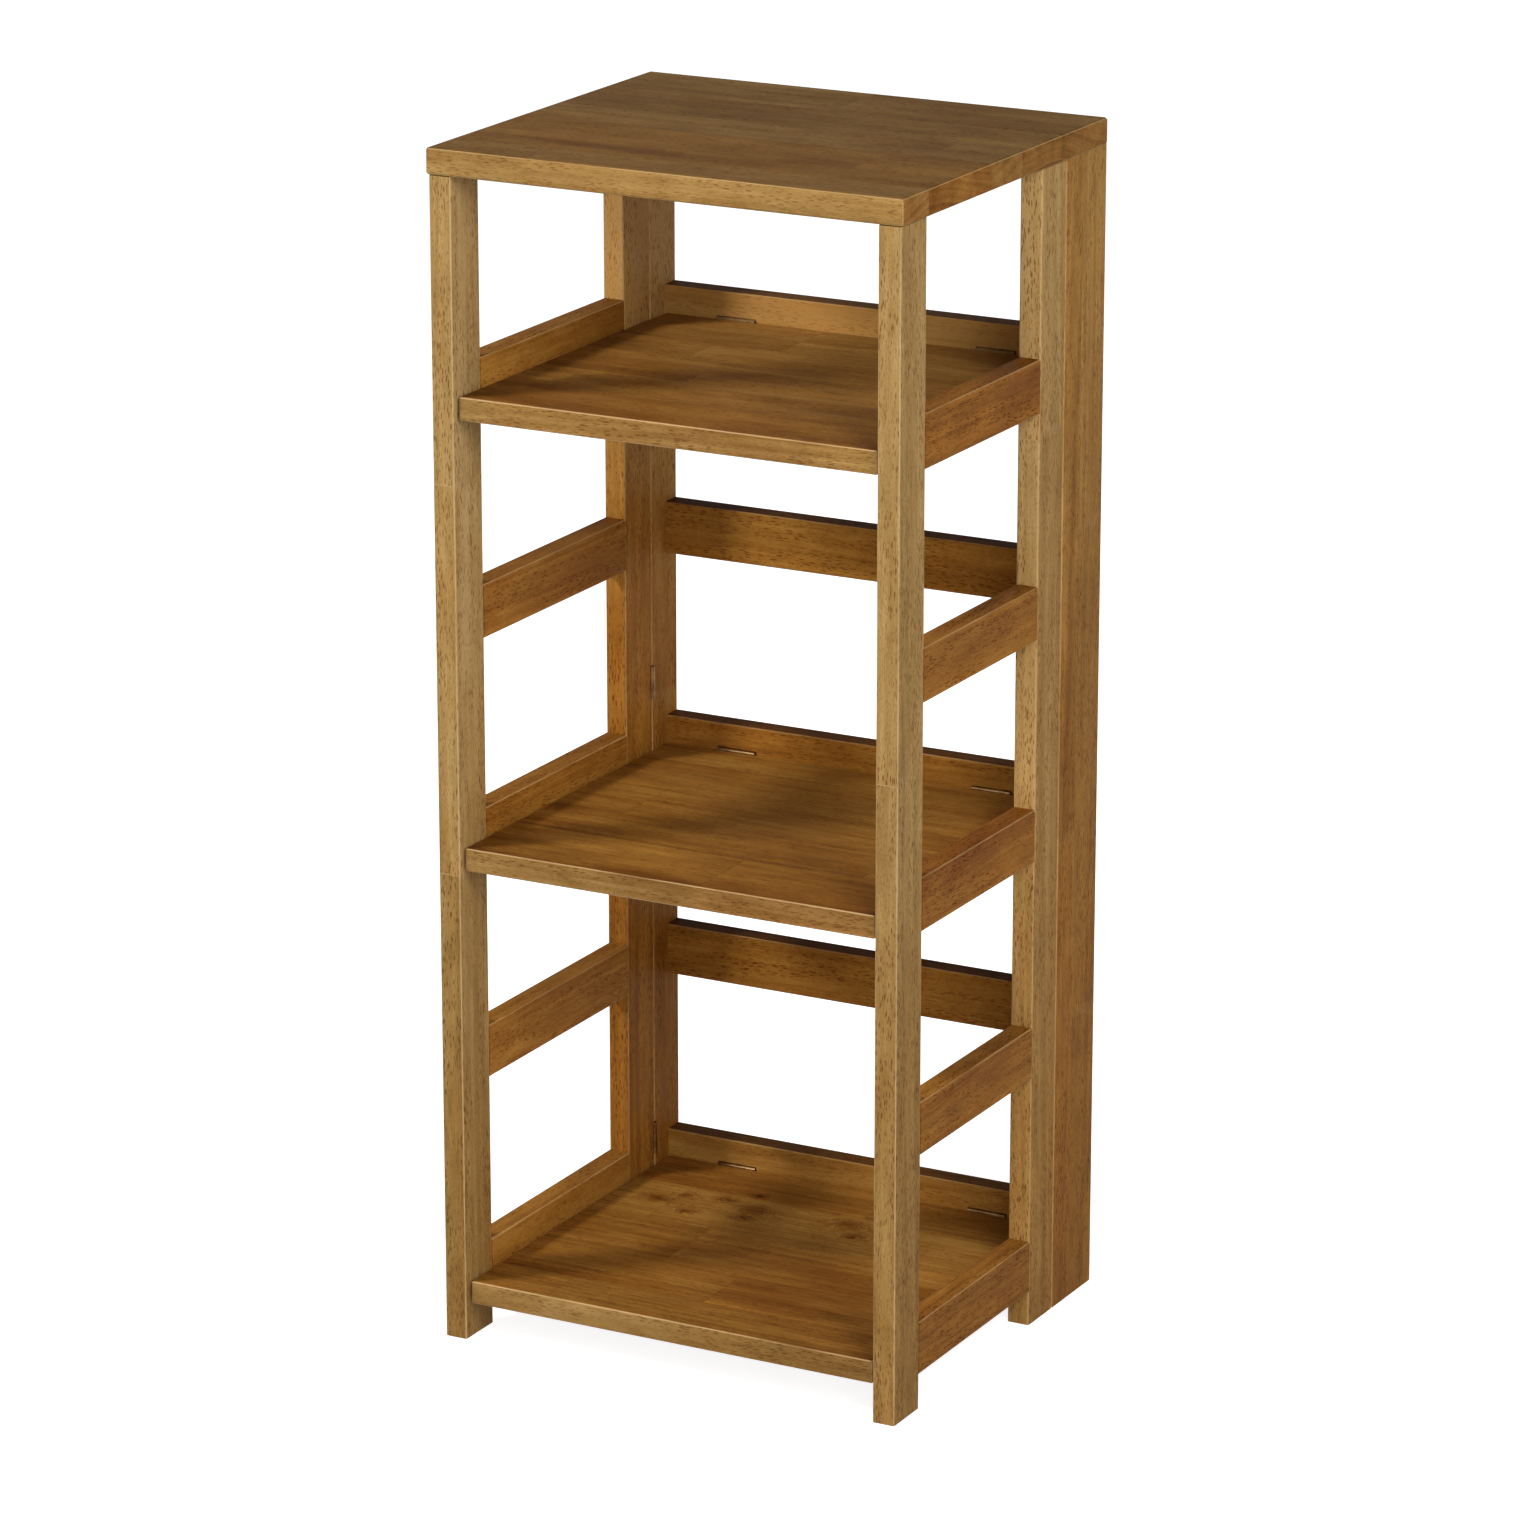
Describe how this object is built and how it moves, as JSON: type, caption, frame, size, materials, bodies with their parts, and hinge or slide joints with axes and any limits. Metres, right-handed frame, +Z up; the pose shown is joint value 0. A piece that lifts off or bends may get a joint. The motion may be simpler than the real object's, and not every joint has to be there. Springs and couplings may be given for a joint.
{
  "type": "folding bookcase",
  "caption": "Narrow open wooden bookcase whose hinged shelves and top swing up so that the ladder side frames can fold in against the back frame.",
  "frame": {"origin": "on the floor, at the middle of the bounding box", "axes": "+X along the width to the right seen from the front, +Y to the back, +Z up"},
  "size_m": [0.364, 0.317, 0.864],
  "materials": {
    "frame_wood": "satin oak stain",
    "shelf_wood": "satin oak stain",
    "top_wood": "satin oak stain",
    "dowel_wood": "bare beech",
    "hinge_brass": "dull plated",
    "pin_steel": "bright zinc"
  },
  "bodies": {
    "back_frame": {"back_frame_dowels": "dowel_wood", "back_frame_hinge_screws": "hinge_brass", "back_post_left": "frame_wood", "back_post_right": "frame_wood", "back_rail_1": "frame_wood", "back_rail_2": "frame_wood", "back_rail_3": "frame_wood", "back_rail_4": "frame_wood", "back_rail_5": "frame_wood", "back_spacer_right": "frame_wood", "back_top_rail": "frame_wood", "hinge_pins": "hinge_brass", "left_side_hinge_fixed_leaves": "hinge_brass", "lower_shelf_hinge_fixed_leaves": "hinge_brass", "middle_shelf_hinge_fixed_leaves": "hinge_brass", "right_side_hinge_fixed_leaves": "hinge_brass", "top_hinge_fixed_leaves": "hinge_brass", "upper_shelf_hinge_fixed_leaves": "hinge_brass"},
    "left_side_frame": {"left_frame_dowels": "dowel_wood", "left_front_post": "frame_wood", "left_rail_1": "frame_wood", "left_rail_2": "frame_wood", "left_rail_3": "frame_wood", "left_rail_4": "frame_wood", "left_rail_5": "frame_wood", "left_rear_post": "frame_wood", "left_shelf_pins": "pin_steel", "left_side_hinge_moving_leaves": "hinge_brass", "left_side_hinge_screws": "hinge_brass"},
    "right_side_frame": {"right_frame_dowels": "dowel_wood", "right_front_post": "frame_wood", "right_rail_1": "frame_wood", "right_rail_2": "frame_wood", "right_rail_3": "frame_wood", "right_rail_4": "frame_wood", "right_rail_5": "frame_wood", "right_rear_post": "frame_wood", "right_shelf_pins": "pin_steel", "right_side_hinge_moving_leaves": "hinge_brass", "right_side_hinge_screws": "hinge_brass"},
    "top": {"top_hinge_moving_leaves": "hinge_brass", "top_hinge_screws": "hinge_brass", "top_panel": "top_wood"},
    "upper_shelf": {"upper_shelf": "shelf_wood", "upper_shelf_hinge_moving_leaves": "hinge_brass", "upper_shelf_hinge_screws": "hinge_brass"},
    "middle_shelf": {"middle_shelf": "shelf_wood", "middle_shelf_hinge_moving_leaves": "hinge_brass", "middle_shelf_hinge_screws": "hinge_brass"},
    "lower_shelf": {"lower_shelf": "shelf_wood", "lower_shelf_hinge_moving_leaves": "hinge_brass", "lower_shelf_hinge_screws": "hinge_brass"}
  },
  "joints": [
    {"name": "top_fold", "type": "hinge", "parent": "back_frame", "child": "top", "pos_m": [0, 0.1562, 0.845], "axis": [-1, 0, 0], "range_deg": [0, 90]},
    {"name": "upper_shelf_fold", "type": "hinge", "parent": "back_frame", "child": "upper_shelf", "pos_m": [0, 0.1412, 0.6915], "axis": [-1, 0, 0], "range_deg": [0, 90]},
    {"name": "middle_shelf_fold", "type": "hinge", "parent": "back_frame", "child": "middle_shelf", "pos_m": [0, 0.1412, 0.3675], "axis": [-1, 0, 0], "range_deg": [0, 90]},
    {"name": "lower_shelf_fold", "type": "hinge", "parent": "back_frame", "child": "lower_shelf", "pos_m": [0, 0.1412, 0.0435], "axis": [-1, 0, 0], "range_deg": [0, 90]},
    {"name": "left_side_fold", "type": "hinge", "parent": "back_frame", "child": "left_side_frame", "pos_m": [-0.163, 0.1202, 0], "axis": [0, 0, 1], "range_deg": [0, 0.3]},
    {"name": "right_side_fold", "type": "hinge", "parent": "back_frame", "child": "right_side_frame", "pos_m": [0.163, 0.0937, 0], "axis": [0, 0, -1], "range_deg": [0, 0.3]}
  ],
  "couplings": [
    {"joint": "upper_shelf_fold", "follows": "top_fold", "ratio": 1}
  ]
}
